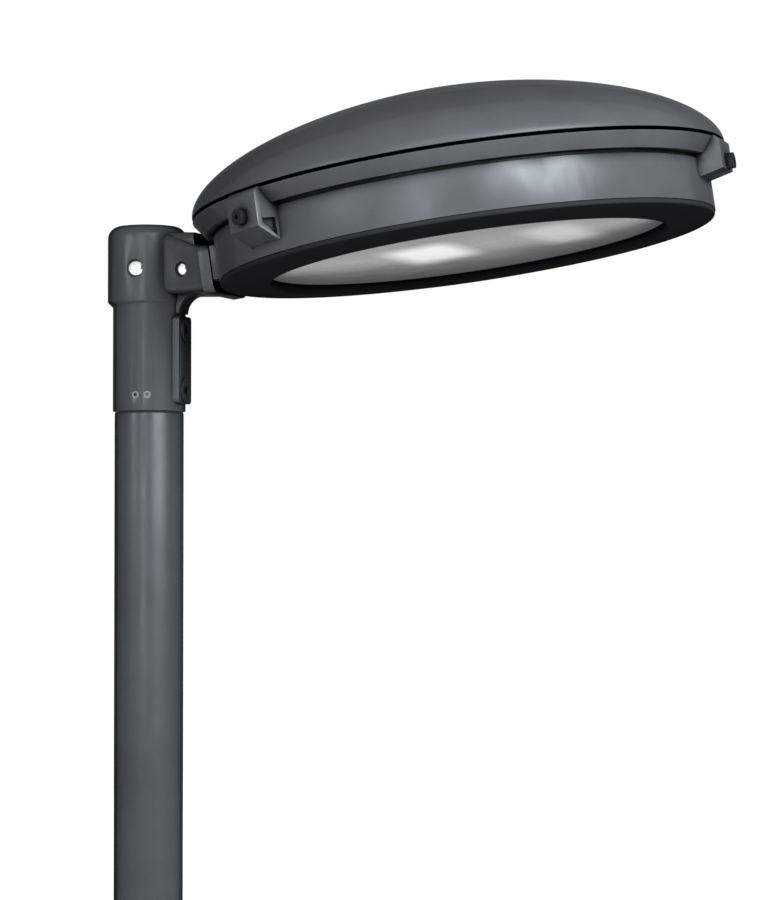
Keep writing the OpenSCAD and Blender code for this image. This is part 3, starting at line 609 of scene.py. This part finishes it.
# Finishes of the CAD nodes that are carried over as they are
FINISHES = {
    "post_seal": black_rubber,
    "hub_screw": bright_steel,
    "neck_screw": bright_steel,
    "sleeve_set_screws": dull_steel,
    "clamp_screws": coat_screw,
    "neck_gasket": black_rubber,
    "neck_bolts": stainless,
    "canopy_gasket": black_rubber,
    "canopy_screws": coat_screw,
    "glass_gasket": pale_silicone,
    "frame_screws": stainless,
    "heat_sink": sink_metal,
    "heat_sink_screws": stainless,
    "reflector_plate": white_coat,
    "reflector_screws": stainless,
    "led_board_a": board_white,
    "led_board_b": board_white,
    "led_chips_a": phosphor,
    "led_chips_b": phosphor,
    "lens_plate_a": lens_clear,
    "lens_plate_b": lens_clear,
    "lens_screws": stainless,
    "tray_standoffs": stainless,
    "gear_tray": galvanised,
    "tray_screws": stainless,
    "driver": driver_white,
    "driver_screws": stainless,
    "surge_protector": surge_red,
    "terminal_block": driver_white,
    "cable_gland": gland_black,
}
for node_name, node_material in FINISHES.items():
    finish_with(nodes[node_name], node_material)


# Floor, backdrop, light and camera. The floor's half width and its two radii are in metres.
WHITE = (1, 1, 1, 1)
FLOOR_HALF = 30.0
FLOOR_PAINT = (0.9, 0.9, 0.9, 1)
FLOOR_BOUNCE = (0.3, 0.3, 0.3, 1)
FLOOR_RADII = (0.6, 2.5)
FLOOR_GLOW = (0.85, 1.0)
AMBIENT_COLOUR = (0.9, 0.95, 1.0, 1)
AMBIENT_LEVEL = 0.05


def seen_as_white(tree):
    """1 for the rays of the camera, of gloss and through glass."""
    path = add(tree, "ShaderNodeLightPath")
    seen = path.outputs["Is Camera Ray"]
    for kind in ("Is Glossy Ray", "Is Transmission Ray"):
        seen = calculate(tree, "MAXIMUM", seen, path.outputs[kind])
    return seen


def white_or_dim(tree, output, dim, white):
    """The white shader is what is seen; the dim one is what lights the object."""
    out = add(tree, output)
    mix = add(tree, "ShaderNodeMixShader")
    tree.links.new(seen_as_white(tree), mix.inputs["Fac"])
    tree.links.new(dim.outputs[0], mix.inputs[1])
    tree.links.new(white.outputs[0], mix.inputs[2])
    tree.links.new(mix.outputs[0], out.inputs["Surface"])


def white_stage(name):
    """White where it is seen, with the object's shadow on it; it bounces much less light."""
    material = bpy.data.materials.new(name)
    material.use_nodes = True
    tree = material.node_tree
    tree.nodes.clear()
    dim = add(tree, "ShaderNodeBsdfDiffuse", {"Color": FLOOR_BOUNCE})
    lit = add(tree, "ShaderNodeBsdfDiffuse", {"Color": FLOOR_PAINT})
    glow = add(tree, "ShaderNodeEmission", {"Color": WHITE})
    coords = add(tree, "ShaderNodeTexCoord")
    reach = add(tree, "ShaderNodeVectorMath", operation="LENGTH")
    tree.links.new(coords.outputs["Object"], reach.inputs[0])
    level = remap(tree, reach.outputs["Value"], *FLOOR_RADII, *FLOOR_GLOW)
    tree.links.new(level, glow.inputs["Strength"])
    white = add(tree, "ShaderNodeAddShader")
    tree.links.new(lit.outputs[0], white.inputs[0])
    tree.links.new(glow.outputs[0], white.inputs[1])
    white_or_dim(tree, "ShaderNodeOutputMaterial", dim, white)
    return material


def floor():
    bm = bmesh.new()
    bmesh.ops.create_grid(bm, x_segments=1, y_segments=1, size=FLOOR_HALF)
    obj = new_piece("floor", bm)
    finish_with(obj, white_stage("floor_white"))


def world():
    """A faint even light on the object, and plain white behind it."""
    studio = bpy.data.worlds.new("studio")
    bpy.context.scene.world = studio
    studio.use_nodes = True
    tree = studio.node_tree
    tree.nodes.clear()
    ambient = {"Color": AMBIENT_COLOUR, "Strength": AMBIENT_LEVEL}
    dim = add(tree, "ShaderNodeBackground", ambient)
    white = add(tree, "ShaderNodeBackground", {"Color": WHITE, "Strength": 1.0})
    white_or_dim(tree, "ShaderNodeOutputWorld", dim, white)


# Lamps that face the head. Azimuth 0 is on the -Y side and grows towards +X, in degrees;
# distance, width and height are in metres.
LAMPS = (
    # name, azimuth, elevation, distance, width, height, watts
    ("key", 52, 17, 2.8, 2.0, 0.8, 122),
    ("fill", -3, 5, 2.7, 0.2, 1.3, 17),
    ("side", -36, 8, 2.7, 0.4, 0.3, 12),
    ("top", 10, 30, 2.7, 1.2, 0.5, 9),
    ("back", 240, 14, 2.8, 1.2, 1.0, 24),
)
LAMP_AIM = 0.8  # how far out towards the head's middle the lamps point
LAMP_TARGET = Vector((HEAD_REACH * LAMP_AIM, 0, HEAD_Z)) * MM


def soft_box(name, azimuth, elevation, distance, width, height, watts):
    a, e = math.radians(azimuth), math.radians(elevation)
    back = Vector((math.sin(a) * math.cos(e), -math.cos(a) * math.cos(e), math.sin(e)))
    lamp = bpy.data.lights.new(name, "AREA")
    lamp.shape = "RECTANGLE"
    lamp.size = width
    lamp.size_y = height
    lamp.energy = watts
    obj = bpy.data.objects.new(name, lamp)
    obj.location = LAMP_TARGET + back * distance
    obj.rotation_mode = "QUATERNION"
    obj.rotation_quaternion = (-back).to_track_quat("-Z", "Y")
    bpy.context.scene.collection.objects.link(obj)


# Camera, fitted to the photograph: its place in millimetres, its turn in degrees, and its lens
CAMERA_AZIMUTH = 21.46
CAMERA_DISTANCE = 4000.0
CAMERA_BELOW_HEAD = 414.0
CAMERA_YAW = 3.73
CAMERA_PITCH = 1.89
CAMERA_LENS = 145.1
SENSOR_WIDTH = 36.0
FAR_CLIP = 100.0


def camera():
    a, yaw, pitch = (math.radians(v) for v in (CAMERA_AZIMUTH, CAMERA_YAW, CAMERA_PITCH))
    look = Vector((-math.sin(a), math.cos(a), 0))
    right = Vector((math.cos(a), math.sin(a), 0))
    ahead = look * math.cos(yaw) + right * math.sin(yaw)
    side = right * math.cos(yaw) - look * math.sin(yaw)
    forward = ahead * math.cos(pitch) + Vector((0, 0, math.sin(pitch)))
    up = side.cross(forward)
    data = bpy.data.cameras.new("camera")
    data.lens = CAMERA_LENS
    data.sensor_width = SENSOR_WIDTH
    data.clip_end = FAR_CLIP
    obj = bpy.data.objects.new("camera", data)
    place = -look * CAMERA_DISTANCE + Vector((0, 0, HEAD_Z - CAMERA_BELOW_HEAD))
    turn = Matrix((side, up, -forward)).transposed().to_4x4()
    obj.matrix_world = Matrix.Translation(place * MM) @ turn
    bpy.context.scene.collection.objects.link(obj)
    bpy.context.scene.camera = obj


floor()
world()
for lamp_values in LAMPS:
    soft_box(*lamp_values)
camera()
bpy.context.scene.view_settings.view_transform = "Standard"
